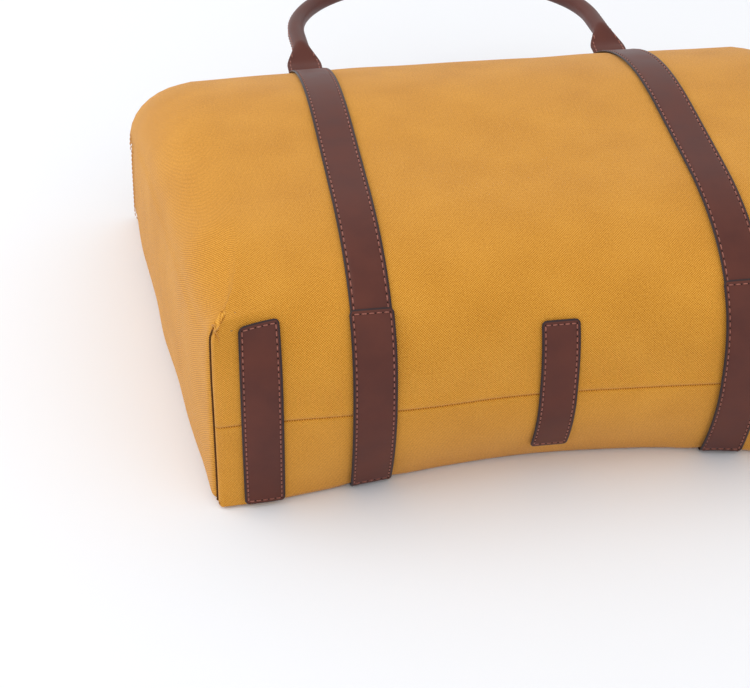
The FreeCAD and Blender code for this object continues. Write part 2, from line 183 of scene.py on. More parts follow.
def surface(s, x):
    """Outer face of the canvas at arc length s from the bottom seam, x across."""
    side = min(abs(x), BOTTOM_HALF)
    near_corner = max((side - CORNER_REACH) / (BOTTOM_HALF - CORNER_REACH), 0.0) ** 2.2
    dip = DIP * max(1 - (x / DIP_HALF) ** 2, 0.0) ** 2
    if s >= 0:
        y, z = on_profile(s)
        y += dip * (1 - smooth((s - 30) / 60))
        if s < CORNER_S:
            corner = (CORNER_Y, mix(CORNER_SEAM_Z, CORNER_TOP, s / CORNER_S))
        else:
            past = s - CORNER_S
            ear = (CORNER_Y + past, CORNER_TOP + 0.12 * past)
            settle = smooth(past / 70)
            corner = (mix(ear[0], y, settle), mix(ear[1], z, settle))
        y, z = mix(y, corner[0], near_corner), mix(z, corner[1], near_corner)
        dome = smooth((s - CORNER_S) / 80)
        z -= dome * 2.5 * (x / BOTTOM_HALF) ** 2
    else:
        t = min(s / FACE_END, 1.0)
        edge = EDGE_IN + EDGE_SAG * max(1 - (x / EDGE_HALF) ** 2, 0.0) ** 1.7
        past = max(FACE_END - s, 0.0)
        y = dip * (1 - t) + edge * t ** 1.7
        y = mix(y, mix(CORNER_Y, CORNER_LOW_Y, t * t), near_corner)
        y += past * (HEIGHT - y) / (FACE_END - BACK_END)
        low = lying(x)
        seam = mix(SEAM_Z, CORNER_SEAM_Z, near_corner)
        z = low + 0.9 * math.exp(-past / 1.5) if past else mix(seam, low + 0.9, t)
    return Vector((x, y, z))


def normal(s, x):
    """Outward direction of the canvas there."""
    step = 0.4
    along = surface(min(s + step, FRONT_END), x) - surface(max(s - step, BACK_END), x)
    across = surface(s, x + step) - surface(s, x - step)
    return across.cross(along).normalized()


def in_frame(p):
    """A point of the case, in mm, as a place in the frame, in metres."""
    return Vector((p[0], p[1] + BOTTOM_Y, p[2])) * MM


# ----------------------------------------------------------- mesh and object
def only(obj):
    """Selects one object and makes it active."""
    bpy.ops.object.select_all(action="DESELECT")
    obj.select_set(True)
    bpy.context.view_layer.objects.active = obj


def grid_piece(name, across, along, place, keep=None):
    """A grid of quads whose corner (i, j) stands at place(i, j), with its flat size as UVs."""
    bpy.ops.object.select_all(action="DESELECT")
    bpy.ops.mesh.primitive_grid_add(x_subdivisions=across, y_subdivisions=along, size=2)
    obj = bpy.context.active_object
    obj.name = obj.data.name = name
    mesh = obj.data
    cell = {v.index: (round((v.co.x + 1) / 2 * across), round((v.co.y + 1) / 2 * along))
            for v in mesh.vertices}
    spots = {}
    for index, (i, j) in cell.items():
        spots[i, j] = place(i, j)
        mesh.vertices[index].co = in_frame(spots[i, j][0])
    layer = mesh.uv_layers.active.data
    for loop in mesh.loops:
        layer[loop.index].uv = Vector(spots[cell[loop.vertex_index]][1]) * MM
    if keep:
        made = bmesh.new()
        made.from_mesh(mesh)
        made.verts.ensure_lookup_table()
        gone = [f for f in made.faces
                if not keep(*(sum(cell[v.index][k] for v in f.verts) / 4 for k in (0, 1)))]
        bmesh.ops.delete(made, geom=gone, context="FACES")
        made.to_mesh(mesh)
        made.free()
    return obj


def modify(obj, kind, **values):
    """Adds a modifier and applies it."""
    only(obj)
    modifier = obj.modifiers.new(kind.title(), kind)
    for key, value in values.items():
        setattr(modifier, key, value)
    bpy.ops.object.modifier_apply(modifier=modifier.name)


def finish_piece(obj, material, body, *nodes, smooth_angle=40):
    """Gives a piece its material, shading, body and the nodes that it stands for."""
    only(obj)
    if material:
        obj.data.materials.clear()
        obj.data.materials.append(material)
    bpy.ops.object.shade_smooth_by_angle(angle=math.radians(smooth_angle))
    if body:
        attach(obj, body)
    if nodes:
        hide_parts(*nodes)
    return obj


def in_edit_mode(obj, *steps):
    """Runs mesh operators on the whole of an object's mesh."""
    only(obj)
    bpy.ops.object.mode_set(mode="EDIT")
    bpy.ops.mesh.select_all(action="SELECT")
    for step in steps:
        step()
    bpy.ops.object.mode_set(mode="OBJECT")


def weld():
    bpy.ops.mesh.remove_doubles(threshold=WELD)


def outwards(obj):
    """Joins points that meet and makes the faces agree on their outside."""
    in_edit_mode(obj, weld, bpy.ops.mesh.normals_make_consistent)


def turn_over(obj, score):
    """Flips the faces when the score says that they point the wrong way."""
    if score < 0:
        in_edit_mode(obj, bpy.ops.mesh.flip_normals)


def build_piece(name, points, faces):
    """An object from points in the frame and faces over them."""
    mesh = bpy.data.meshes.new(name)
    mesh.from_pydata(points, [], faces)
    obj = bpy.data.objects.new(name, mesh)
    bpy.context.scene.collection.objects.link(obj)
    outwards(obj)
    return obj


# ----------------------------------------------------------------- materials
def linear(code):
    """Linear colour of an sRGB hex value."""
    parts = [int(code[i:i + 2], 16) / 255 for i in (1, 3, 5)]
    return tuple(c / 12.92 if c <= 0.04045 else ((c + 0.055) / 1.055) ** 2.4 for c in parts)


def add(tree, kind, inputs, **set_up):
    """Adds a node; each input is a value, or a (node, socket) pair to link from."""
    made = tree.nodes.new(kind)
    for key, value in set_up.items():
        setattr(made, key, value)
    for key, value in inputs.items():
        if isinstance(value, tuple) and isinstance(value[0], bpy.types.Node):
            tree.links.new(value[0].outputs[value[1]], made.inputs[key])
        else:
            made.inputs[key].default_value = value
    return made


def calc(tree, operation, *inputs):
    """A sum over values and (node, socket) pairs, as a pair."""
    return add(tree, "ShaderNodeMath", dict(enumerate(inputs)), operation=operation), 0


def speckle(tree, coords, scale, detail, rough=0.5):
    """A cloud texture."""
    return add(tree, "ShaderNodeTexNoise", {"Vector": coords, "Scale": scale,
                                            "Detail": detail, "Roughness": rough})


def base_material(name, code, rough, **values):
    """A material with its main shader set up; the tree is None if it was there already."""
    material = bpy.data.materials.get(name)
    if material:
        return material, None, None
    material = bpy.data.materials.new(name)
    material.use_nodes = True
    material.diffuse_color = (*linear(code), 1)
    tree = material.node_tree
    shader = tree.nodes["Principled BSDF"]
    shader.inputs["Base Color"].default_value = (*linear(code), 1)
    shader.inputs["Roughness"].default_value = rough
    for key, value in values.items():
        shader.inputs[key.replace("_", " ")].default_value = value
    return material, tree, shader


def colour_by(tree, shader, source, stops):
    """Colours the shader by a ramp over a value."""
    made = add(tree, "ShaderNodeValToRGB", {"Fac": source})
    line = made.color_ramp
    while len(line.elements) < len(stops):
        line.elements.new(0.5)
    for element, (place, code) in zip(line.elements, stops):
        element.position = place
        element.color = (*linear(code), 1)
    tree.links.new(made.outputs["Color"], shader.inputs["Base Color"])


def shine_by(tree, shader, source, low, high):
    """Varies the shader's roughness with a value."""
    made = add(tree, "ShaderNodeMapRange", {"To Min": low, "To Max": high, "Value": source})
    tree.links.new(made.outputs["Result"], shader.inputs["Roughness"])


def bump_by(tree, shader, source, strength, depth):
    """Raises the surface by a value, up to a depth in mm."""
    made = add(tree, "ShaderNodeBump", {"Strength": strength, "Distance": depth * MM,
                                        "Height": source})
    tree.links.new(made.outputs["Normal"], shader.inputs["Normal"])


def woven_cotton(name, crest_light_and_pale_yarn, mid, gap_shade_and_dark_yarn, pitch, depth, sheen=0.08, upright=False):
    """Plain-woven cotton: round yarns that cross over and under, with uneven dye, painted shade
    in the gaps between yarns and painted light on their crests.

    The weave follows the piece's own UVs, or on an upright flat piece its X and Z.
    """
    name += "_upright" if upright else ""
    material, tree, shader = base_material(name, mid, 0.88, Sheen_Weight=sheen,
                                           Sheen_Roughness=0.5, Specular_IOR_Level=0.22)
    if tree is None:
        return material
    if upright:
        place = add(tree, "ShaderNodeTexCoord", {}), "Object"
        coords = add(tree, "ShaderNodeMapping", {"Rotation": (-math.pi / 2, 0, 0),
                                                 "Vector": place}), 0
    else:
        coords = add(tree, "ShaderNodeUVMap", {}), 0
    wobble = speckle(tree, coords, 260.0, 2.0), "Color"
    shift = add(tree, "ShaderNodeVectorMath", {0: wobble, 1: (pitch * 0.25 * MM,) * 3},
                operation="MULTIPLY"), "Vector"
    moved = add(tree, "ShaderNodeVectorMath", {0: coords, 1: shift}, operation="ADD"), "Vector"
    scaled = add(tree, "ShaderNodeVectorMath", {0: moved, "Scale": math.pi / (pitch * MM)},
                 operation="SCALE"), "Vector"
    split = add(tree, "ShaderNodeSeparateXYZ", {"Vector": scaled})
    waves = [calc(tree, "SINE", (split, axis)) for axis in "XY"]
    height = calc(tree, "MULTIPLY_ADD", calc(tree, "MULTIPLY", *waves), 0.5, 0.5)
    slubs = speckle(tree, coords, 900.0, 3.0, 0.65), "Fac"
    mottle = speckle(tree, coords, 28.0, 3.0), "Fac"
    # The weave's height paints the gaps between yarns darker and the crests lighter, as painted
    # shade and light; slubs and mottle are the yarn's own uneven tone.
    blend = calc(tree, "MULTIPLY", height, 0.62)
    blend = calc(tree, "MULTIPLY_ADD", slubs, 0.55, blend)
    blend = calc(tree, "MULTIPLY_ADD", mottle, 0.22, blend)
    colour_by(tree, shader, blend, [(0.32, gap_shade_and_dark_yarn), (0.68, mid), (1.0, crest_light_and_pale_yarn)])
    bump_by(tree, shader, calc(tree, "MULTIPLY_ADD", slubs, 0.35, height), 0.8, depth)
    return material


def smooth_leather(name, colour, light, rough=0.46):
    """Full-grain leather with a finished face: a fine pebble and a soft wax shine."""
    material, tree, shader = base_material(name, colour, rough, Specular_IOR_Level=0.3,
                                           Coat_Weight=0.03, Coat_Roughness=0.3)
    if tree is None:
        return material
    coords = add(tree, "ShaderNodeTexCoord", {}), "Object"
    grain = add(tree, "ShaderNodeTexVoronoi", {"Scale": 1500.0, "Randomness": 1.0,
                                               "Vector": coords}, feature="SMOOTH_F1")
    fine = speckle(tree, coords, 2400.0, 2.0), "Fac"
    cloud = speckle(tree, coords, 55.0, 4.0), "Fac"
    colour_by(tree, shader, cloud, [(0.3, colour), (0.72, light)])
    shine_by(tree, shader, cloud, rough - 0.07, rough + 0.1)
    bump_by(tree, shader, calc(tree, "MULTIPLY_ADD", fine, 0.5, (grain, "Distance")), 0.35, 0.05)
    return material


def one_texture(name, colour, rough, texture, stops, bump=(), shine=(), **values):
    """A material drawn from one texture: its colour and, if given, its bump and its shine."""
    material, tree, shader = base_material(name, colour, rough, **values)
    if tree is None:
        return material
    kind, sizes, socket = texture
    coords = add(tree, "ShaderNodeTexCoord", {}), "Object"
    source = add(tree, kind, {**sizes, "Vector": coords}), socket
    colour_by(tree, shader, source, stops)
    if bump:
        bump_by(tree, shader, source, *bump)
    if shine:
        shine_by(tree, shader, source, *shine)
    return material


def canvas(upright=False):
    """Mustard cotton canvas, dyed in the yarn, with painted light on the weave's crests and
    painted shade in its gaps.
    """
    return woven_cotton("mustard_cotton_canvas", "#E8AA48", "#CE8C26", "#955A0F",
                        WEAVE_PITCH, 0.22, 0.14, upright)


def strap_leather():
    """Oxblood-brown bridle leather."""
    return smooth_leather("oxblood_bridle_leather", "#4F2219", "#5B2A1E")


def painted_edge():
    """Edge paint on cut leather: thick, dark and a little glossy."""
    return smooth_leather("dark_edge_paint", "#2A1A1B", "#322022", 0.42)


def thread():
    """Waxed polyester thread: twisted, with a dull shine."""
    return one_texture("rose_waxed_thread", "#96523F", 0.6,
                       ("ShaderNodeTexNoise", {"Scale": 1400.0, "Detail": 1.0}, "Fac"),
                       [(0.3, "#7E4334"), (0.7, "#A86553")], bump=(0.4, 0.06),
                       Sheen_Weight=0.2)


def hole_shade():
    """Painted shade for the dark inside of a punched stitch hole."""
    return smooth_leather("painted_stitch_hole_shade", "#1B0F0D", "#231412", 0.9)


def canvas_thread():
    """Mustard polyester thread on the canvas."""
    return one_texture("mustard_thread", "#C58B3C", 0.6,
                       ("ShaderNodeTexNoise", {"Scale": 1400.0}, "Fac"),
                       [(0.3, "#B27A30"), (0.7, "#D9A051")])


def seam_shade_strip():
    """Painted seam shade: dark brown stitch shapes laid deep in a corner seam's crease, where
    little light comes.
    """
    return smooth_leather("painted_seam_shade", "#4A2A08", "#5E380E", 0.85)


def lining_cotton():
    """Beige cotton twill lining."""
    return woven_cotton("beige_cotton_lining", "#BBA88A", "#A08D70", "#7D6C52", 0.5, 0.08)


def brown_tape():
    """Dark brown woven polyester tape, as on a zip or a bound edge."""
    return woven_cotton("brown_woven_tape", "#5A3A2F", "#45291F", "#2C1812", 0.45, 0.08)


def closed_cell_foam():
    """Grey closed-cell foam: a fine skin full of tiny bubbles."""
    return one_texture("grey_closed_cell_foam", "#55565A", 0.9,
                       ("ShaderNodeTexVoronoi", {"Scale": 900.0}, "Distance"),
                       [(0.1, "#3E3F42"), (0.6, "#606166")], bump=(0.5, 0.2))


def antique_brass():
    """Antiqued brass: brown in the hollows and rubbed brighter on the high places."""
    return one_texture("antique_brass", "#8A6B3C", 0.34,
                       ("ShaderNodeTexNoise", {"Scale": 420.0, "Detail": 5.0}, "Fac"),
                       [(0.35, "#5E4728"), (0.7, "#A68450")], shine=(0.24, 0.46), Metallic=1.0)


# ------------------------------------------------------------- canvas panels
def spread(low, high, step):
    """Even places from low to high, about a step apart."""
    count = max(round(abs(high - low) / step), 1)
    return [low + (high - low) * i / count for i in range(count + 1)]


TUCK = ((0.0, 2.4), (0.12, 1.2), (0.45, 0.45), (1.1, 0.1))  # place from a seam, depth there


def corner_round(s):
    """Roundness between the front and the side at an arc length."""
    past = max(s - CORNER_S, 0.0)
    return 2.6 + 42 * past / (past + 34)


def side_low(y):
    """Height of the seam between the side and the back panel."""
    return LYING + 0.6 + 8 * (1 - math.exp(-max(y - CORNER_Y, 0) / 18))


def ripple(place, size):
    """Slow unevenness of filled cloth."""
    return size * noise.noise(Vector(place) / 46 + Vector((3.1, 7.7, 1.3)))


LAYER_ROUND = 6.0     # least roundness of the layers under the canvas, plus their depth
CLEAR_CORNER = 12.0   # those layers stop this far from a corner seam's ends
ARC = 9               # columns round each front corner
DOWN = 30             # columns down each side
SIDE_SWELL = 2.2      # how far a side bulges in the middle
SEAM_SWELL = 2.0      # how fast it swells out behind the corner seam
SEAM_TUCK = 3.6       # how deep the corner seam pulls it in
FLAT = spread(-1, 1, 2 / 96)


def corner_pit(p):
    """Depth of the puckered pit where a corner seam ends."""
    away = math.dist((abs(p[0]), p[1], p[2]), (BOTTOM_HALF, CORNER_Y + 1, CORNER_TOP - 2))
    return 2.6 * math.exp(-(away / 4.5) ** 2)


def seam_pucker(s, x):
    """Small gathers that fade away from the corner seam."""
    near = math.exp(-max(BOTTOM_HALF - abs(x), 0) / 7)
    return 0.22 * near * math.sin(s / 1.15) * math.cos(s / 3.7)


def cross_place(s, column, inset, front=True):
    """Point of the front, back or side at an arc length, for a column across the case."""
    p, run = layer_place(s, column, inset, front)
    if inset > 1 and BACK_END < s < FRONT_END:          # stay clear of the corners' seams
        sign = math.copysign(1, p[0])
        away = math.dist((abs(p[0]), p[1], p[2]), (BOTTOM_HALF, CORNER_Y, CORNER_TOP))
        p += Vector((-sign, 1, -1)) * (inset * 0.3 + 2.5) * math.exp(-(away / 13) ** 2)
        if abs(p[0]) > 120 or s > CORNER_S:
            p[1] = max(p[1], CORNER_Y + inset + 1.2)
        p[2] = max(p[2], LYING + inset + 0.5)
    return p, run


def layer_place(s, column, inset, front):
    """The same, for a layer that may still run under the bottom's own layer."""
    side, where = column
    sign = -1 if side < 0 else 1
    edge = surface(s, sign * BOTTOM_HALF)
    width = half_width(edge[1]) if (s > CORNER_S or s < FACE_END) else BOTTOM_HALF
    if front:
        round_off = corner_round(s)
    else:
        round_off = 2.6 if s > FACE_END else max(side_low(edge[1]) - LYING, 2.6)
    if inset > 1:
        round_off = max(round_off, inset + LAYER_ROUND)
    if abs(side) <= 1:                                  # the flat part
        x = side * (width - round_off)
        at = x * BOTTOM_HALF / width
        p, n = surface(s, at), normal(s, at)
        p[0] = x
        p += n * (ripple(p, 0.9) + seam_pucker(s, at)) - n * corner_pit(p)
        return p - n * inset, x
    p = surface(s, sign * BOTTOM_HALF)
    n = normal(s, sign * (BOTTOM_HALF - 2))
    n[0] = 0
    n[1] *= 1 - smooth((s - CORNER_S) / 40)             # further up, sections stand square
    n.normalize()
    p[0] = sign * (width - round_off)
    if abs(side) <= 2:                                  # round the corner
        turn = math.pi / 2 * where
        if not inset:                                   # rolls on into the corner seam
            left = CORNER_S - s if front else s - FACE_END
            turn *= 1 + 0.6 * smooth(left / 5)
        out = Vector((sign * math.sin(turn), 0, 0)) + n * math.cos(turn)
        q = p - n * round_off + out * round_off
        q += out * ripple(q, 0.9) - out * corner_pit(q)
        return q - out * inset, sign * (width - round_off + round_off * turn)
    top = p - n * round_off                             # down the side
    low = side_low(top[1])
    z = mix(top[2], low, where)
    swell = SIDE_SWELL * math.sin(math.pi * where) * smooth((top[1] - CORNER_Y) / 40)
    behind = max(top[1] - CORNER_Y - 2.7, 0)            # way back from the corner seam
    swell += SEAM_SWELL * (1 - math.exp(-behind / 1.8))
    swell *= 1 - smooth((top[1] - HEIGHT + 60) / 50)    # the mouth is held by its facing
    tuck = SEAM_TUCK * math.exp(-behind / 0.9) * smooth(where / 0.05)
    q = Vector((sign * (width + swell - tuck - 1.2 * (1 - where) ** 6), top[1], z))
    q += Vector((sign, 0, 0)) * ripple(q, 1.2)
    q -= Vector((sign, 0, 0)) * inset
    return q, sign * (width + round_off * 0.57 + top[2] - z)


def columns(sides):
    """Columns across a panel: side marks the part, where is the share along that part."""
    arcs = [(1.5, i / ARC) for i in range(1, ARC + 1)]
    downs = [(3, i / DOWN) for i in range(1, DOWN + 1)] if sides else []
    right = arcs + downs
    left = [(-a, b) for a, b in reversed(right)]
    return left + [(u, 0) for u in FLAT] + right


def seam_rows(end, step):
    """Arc lengths from the bottom seam, with the tucked edge first."""
    sign = 1 if end > 0 else -1
    rows = [(sign * place, depth) for place, depth in TUCK]
    rows += [(s, 0.0) for s in spread(sign * 2.2, end, step)]
    return rows


def front_layer(name, inset, step=2.7, short=0.0):
    """Front, both sides and the upper half of the bottom as one skin."""
    end = FRONT_END - short
    table = columns(True)
    face = [(s, d) for s, d in seam_rows(CORNER_S, step) if s < CORNER_S - 0.5]
    rest = [(s, 0.0) for s in spread(CORNER_S, CORNER_S + 9, 0.6)]
    rest += [(s, 0.0) for s in spread(CORNER_S + 9, CORNER_S + 20, 1.8)[1:]]
    rest += [(s, 0.0) for s in spread(CORNER_S + 20, end, step * 1.5)[1:]]
    rows = face + rest

    def place(i, j):
        s, depth = rows[j]
        p, across = cross_place(s, table[i], inset)
        lip = 0.5 * math.exp(-((s - 4) / 3) ** 2)
        n = normal(s, 0.0)
        return p - n * (depth if inset == 0 else 0) + n * lip, (across, s)

    def keep(i, j):
        if inset and rows[int(j)][0] < CORNER_S + CLEAR_CORNER:
            return DOWN + ARC < i < len(table) - 1 - DOWN - ARC
        return j > len(face) or DOWN < i < len(table) - 1 - DOWN

    return grid_piece(name, len(table) - 1, len(rows) - 1, place, keep)


def back_layer(name, inset, step=3.0, short=0.0):
    """Back panel and the lower half of the bottom as one skin."""
    table = columns(False)
    rows = seam_rows(FACE_END, step)
    rows += [(s, 0.0) for s in spread(FACE_END - 1.2, FACE_END - 14, 1.6)]
    rows += [(s, 0.0) for s in spread(FACE_END - 14, BACK_END + short, step * 2)[1:]]

    def place(i, j):
        s, depth = rows[j]
        p, across = cross_place(s, table[i], inset, front=False)
        n = normal(s, 0.0)
        return p - n * (depth if inset == 0 else 0), (across, s)

    def keep(i, j):
        flat = ARC < i < len(table) - 1 - ARC
        return not inset or flat or rows[int(j)][0] < FACE_END - CLEAR_CORNER

    return grid_piece(name, len(table) - 1, len(rows) - 1, place, keep)


def outward_score(face):
    """How much a face looks away from the middle of the case."""
    return (face.center - in_frame(CASE_MIDDLE)).dot(face.normal)


def thicken(obj, wall):
    """Gives a skin its thickness, inwards."""
    outwards(obj)
    turn_over(obj, outward_score(max(obj.data.polygons, key=lambda f: f.area)))
    modify(obj, "SOLIDIFY", thickness=wall, offset=-1.0)


class SLEEVE_OT_canvas(bpy.types.Operator):
    """Make the canvas front and back panels, with painted shade along the corner seams"""

    bl_idname = "sleeve.canvas"
    bl_label = "Canvas Panels"

    def execute(self, context):
        for layer, side in ((front_layer, "front"), (back_layer, "back")):
            skin = layer("canvas_" + side, 0.0)
            thicken(skin, settings().canvas_wall)
            finish_piece(skin, canvas(), "case", side + "_panel", smooth_angle=60)
        # Painted shade: a dark strip of stitch shapes laid in each corner seam's crease.
        for side, sign in (("left", -1), ("right", 1)):
            line = []
            for s in spread(FACE_END + 3, CORNER_S - 1, 1.7):
                p = cross_place(s, (sign * 1.5, 0.72), 0.0, s > 0)[0]
                line.append(p + Vector((sign * 0.45, 0.25, 0)))
            places = [(p, t, Vector((sign, -1, 0))) for p, t in walk(line, 1.5)]
            sew("corner_seam_shade_" + side, places, 1.9, "case", seam_shade_strip(), 0.6)
        return {"FINISHED"}


# ------------------------------------------------------------------- leather
def leather_columns(width):
    """Places across a leather strip, close together by its edges and stitch lines."""
    half = width / 2
    line = half - STITCH_INSET
    right = [line - 2, line - 0.9, line - 0.35, line, line + 0.35, line + 0.9, half - 0.35, half]
    return [-x for x in reversed(right)] + spread(1.2 - line + 1.2, line - 2.4, 2.0) + right


def in_order(made):
    """Numbers a mesh by place, since an extrusion numbers it differently from run to run."""
    def ends(element):
        return sorted(v.index for v in element.verts)

    for elements, key in ((made.verts, lambda v: v.co[:]), (made.edges, ends),
                          (made.faces, ends)):
        rank = {e: k for k, e in enumerate(sorted(elements, key=key))}
        elements.sort(key=lambda e: rank[e])
        elements.index_update()


def strip_piece(name, width, low, high, lift, centre_x, round_off):
    """A leather strip that lies on the case between two arc lengths."""
    table = leather_columns(width)
    rows = [low, low + 0.35] + spread(low + 1.0, high - 1.0, 0.9) + [high - 0.35, high]
    half = width / 2

    def half_at(s):
        """Half the strip's width, less where its corners are rounded."""
        end = min(s - low, high - s)
        if end >= round_off:
            return half
        return half - round_off + math.sqrt(max(round_off ** 2 - (round_off - end) ** 2, 0))

    def groove(x, s):
        """Depth of the stitch channel."""
        lines = abs(abs(x) - (half - STITCH_INSET))
        inside = low + STITCH_INSET - 0.3 < s < high - STITCH_INSET + 0.3
        deep = math.exp(-(lines / 0.55) ** 2) if inside else 0.0
        if round_off and abs(x) < half - STITCH_INSET:
            for end in (s - low, high - s):
                deep = max(deep, math.exp(-((end - STITCH_INSET - 0.6) / 0.55) ** 2))
        return 0.34 * deep

    def place(i, j):
        s, x = rows[j], table[i] * half_at(rows[j]) / half
        edge = min(half_at(s) - abs(x), s - low, high - s)
        soft = 0.55 * max(1 - edge / 0.55, 0.0) ** 2
        h = lift + LEATHER_WALL - soft - groove(x, s)
        p = surface(s, centre_x + x) + normal(s, centre_x + x) * h
        p[2] = max(p[2], TABLE_GAP)
        return p, (x, s)

    top = grid_piece(name, len(table) - 1, len(rows) - 1, place)
    mesh = top.data
    made = bmesh.new()
    made.from_mesh(mesh)
    edges = [e for e in made.edges if e.is_boundary]
    side = bmesh.ops.extrude_edge_only(made, edges=edges)["geom"]
    walls = []
    for v in [v for v in side if isinstance(v, bmesh.types.BMVert)]:
        walls.append((v, min((u for e in v.link_edges for u in e.verts if u is not v),
                             key=lambda u: (u.co - v.co).length)))
    for v, upper in walls:
        if upper.normal.length:
            v.co = v.co - upper.normal.normalized() * (LEATHER_WALL * MM)
    for face in [f for f in side if isinstance(f, bmesh.types.BMFace)]:
        face.material_index = 1
    in_order(made)
    made.to_mesh(mesh)
    made.free()
    outwards(top)
    mesh.materials.clear()
    mesh.materials.append(strap_leather())
    mesh.materials.append(painted_edge())
    layer = mesh.uv_layers.active.data
    for face in mesh.polygons:                    # the edge paint runs a little onto the face
        x, s = (sum(layer[i].uv[k] for i in face.loop_indices) / len(face.loop_indices) / MM
                for k in (0, 1))
        if min(half_at(s) - abs(x), s - low, high - s) < PAINT_LAP:
            face.material_index = 1
    return top


def stitch_shape():
    """One stitch lying along X, a unit long: rings and two tips, as points and faces."""
    rings = ((-0.40, 0.62, -0.25), (-0.2, 0.95, 0.3), (0.2, 0.95, 0.3), (0.40, 0.62, -0.25))
    sides = 6
    points = [Vector((-0.5, 0, -1.1))]
    for along, size, height in rings:
        for k in range(sides):
            turn = 2 * math.pi * k / sides
            points.append(Vector((along, size * math.cos(turn), size * math.sin(turn) + height)))
    points.append(Vector((0.5, 0, -1.1)))
    faces = [(0, 1 + (k + 1) % sides, 1 + k) for k in range(sides)]
    for r in range(len(rings) - 1):
        for k in range(sides):
            a, b = 1 + r * sides + k, 1 + r * sides + (k + 1) % sides
            faces.append((a, b, b + sides, a + sides))
    last = len(points) - 1
    faces += [(last, last - sides + k, last - sides + (k + 1) % sides) for k in range(sides)]
    return points, faces


def sew(name, places, pitch, body, material, radius=None):
    """Stitches at places, each a middle, a direction and an outward normal, in mm."""
    radius = radius or settings().stitch_round / MM
    shape, faces = stitch_shape()
    points, made_faces = [], []
    for middle, along, n in places:
        along = along.normalized()
        n = (n - along * n.dot(along)).normalized()
        across = n.cross(along)
        start = len(points)
        for p in shape:
            spot = middle + along * p.x * pitch * 0.86 + (across * p.y + n * p.z) * radius
            points.append(in_frame(spot))
        made_faces += [tuple(start + k for k in f) for f in faces]
    finish_piece(build_piece(name, points, made_faces), material, body, smooth_angle=80)


def punch(name, places, pitch, body):
    """Painted shade for the punched holes: dark patches laid between the stitches."""
    hole_shade_places = [(m + a.normalized() * pitch / 2 - n.normalized() * 0.1, a, n)
             for m, a, n in places]
    sew(name, hole_shade_places, 1.0, body, hole_shade(), 0.42)


def stitch_row(start, end, pitch, lift):
    """Stitch places on the case, in a straight row between two (arc length, across) spots."""
    length = math.dist(start, end)
    ds, dx = ((b - a) / length / 2 for a, b in zip(start, end))
    count = max(round(length / pitch), 1)
    found = []
    for k in range(count):
        s, x = (mix(a, b, (k + 0.5) / count) for a, b in zip(start, end))
        n = normal(s, x)
        found.append((surface(s, x) + n * lift,
                      surface(s + ds, x + dx) - surface(s - ds, x - dx), n))
    return found


def leather_strip(name, node, centre_x, width, low, high, pitch, round_off=TAB_ROUND,
                  ends=(True, True), lift=0.1):
    """A finished strip with its edge paint and saddle stitching."""
    obj = strip_piece(name, width, low, high, lift, centre_x, round_off)
    turn_over(obj, sum(outward_score(f) * f.area for f in obj.data.polygons))
    finish_piece(obj, None, "case", node, smooth_angle=55)
    line = width / 2 - STITCH_INSET
    left, right = centre_x - line, centre_x + line
    first, last = low + STITCH_INSET + 0.6, high - STITCH_INSET - 0.6
    rows = [((first, x), (last, x)) for x in (left, right)]
    rows += [((s, left), (s, right)) for s, sewn in zip((first, last), ends) if sewn]
    places = []
    for row in rows:
        places += stitch_row(*row, pitch, lift + LEATHER_WALL - 0.3)
    sew(name + "_stitches", places, pitch, "case", thread())
    # Painted hole shade between the stitches.
    punch(name + "_holes", places, pitch, "case")


TAB_HALF = 60.5                # a tab reaches this far round the bottom, each way
CENTRE_HALF = 45.5             # and the centre tab this far
UNDER_PATCH = 14.0             # a strap's end runs this far under its patch


class SLEEVE_OT_tabs(bpy.types.Operator):
    """Make the stitched leather tabs and patches that wrap the bottom"""

    bl_idname = "sleeve.tabs"
    bl_label = "Leather Tabs"

    def execute(self, context):
        for side, sign in (("left", -1), ("right", 1)):
            leather_strip("tab_corner_" + side, "corner_tab_" + side, sign * TAB_X, STRAP_WIDTH,
                          -TAB_HALF, TAB_HALF, TAB_PITCH)
            leather_strip("patch_" + side, "bottom_patch_" + side, sign * STRAP_X,
                          STRAP_WIDTH + 1.6, -TAB_HALF, TAB_HALF, TAB_PITCH,
                          lift=LEATHER_WALL * 0.55)
        leather_strip("tab_centre", "centre_tab", 0.0, CENTRE_WIDTH, -CENTRE_HALF, CENTRE_HALF,
                      TAB_PITCH)
        return {"FINISHED"}


class SLEEVE_OT_straps(bpy.types.Operator):
    """Make the leather straps that run up the front and the back"""

    bl_idname = "sleeve.straps"
    bl_label = "Leather Straps"

    def execute(self, context):
        for side, sign in (("left", -1), ("right", 1)):
            for face, low, high, ends in (
                    ("front", TAB_HALF - UNDER_PATCH, FRONT_END - 3, (False, True)),
                    ("back", BACK_END + 3, UNDER_PATCH - TAB_HALF, (True, False))):
                leather_strip(f"strap_{face}_{side}", f"{face}_strap_{side}", sign * STRAP_X,
                              STRAP_WIDTH, low, high, STRAP_PITCH, 0, ends, 0.0)
        return {"FINISHED"}


# ------------------------------------------------- padding, lining and inside
INNER_INSET = 6.4              # outer face of the lining, in from the canvas
LINING_WALL = 0.8
RIM_SHORT = 4.0                # padding and lining stop this far below the rim


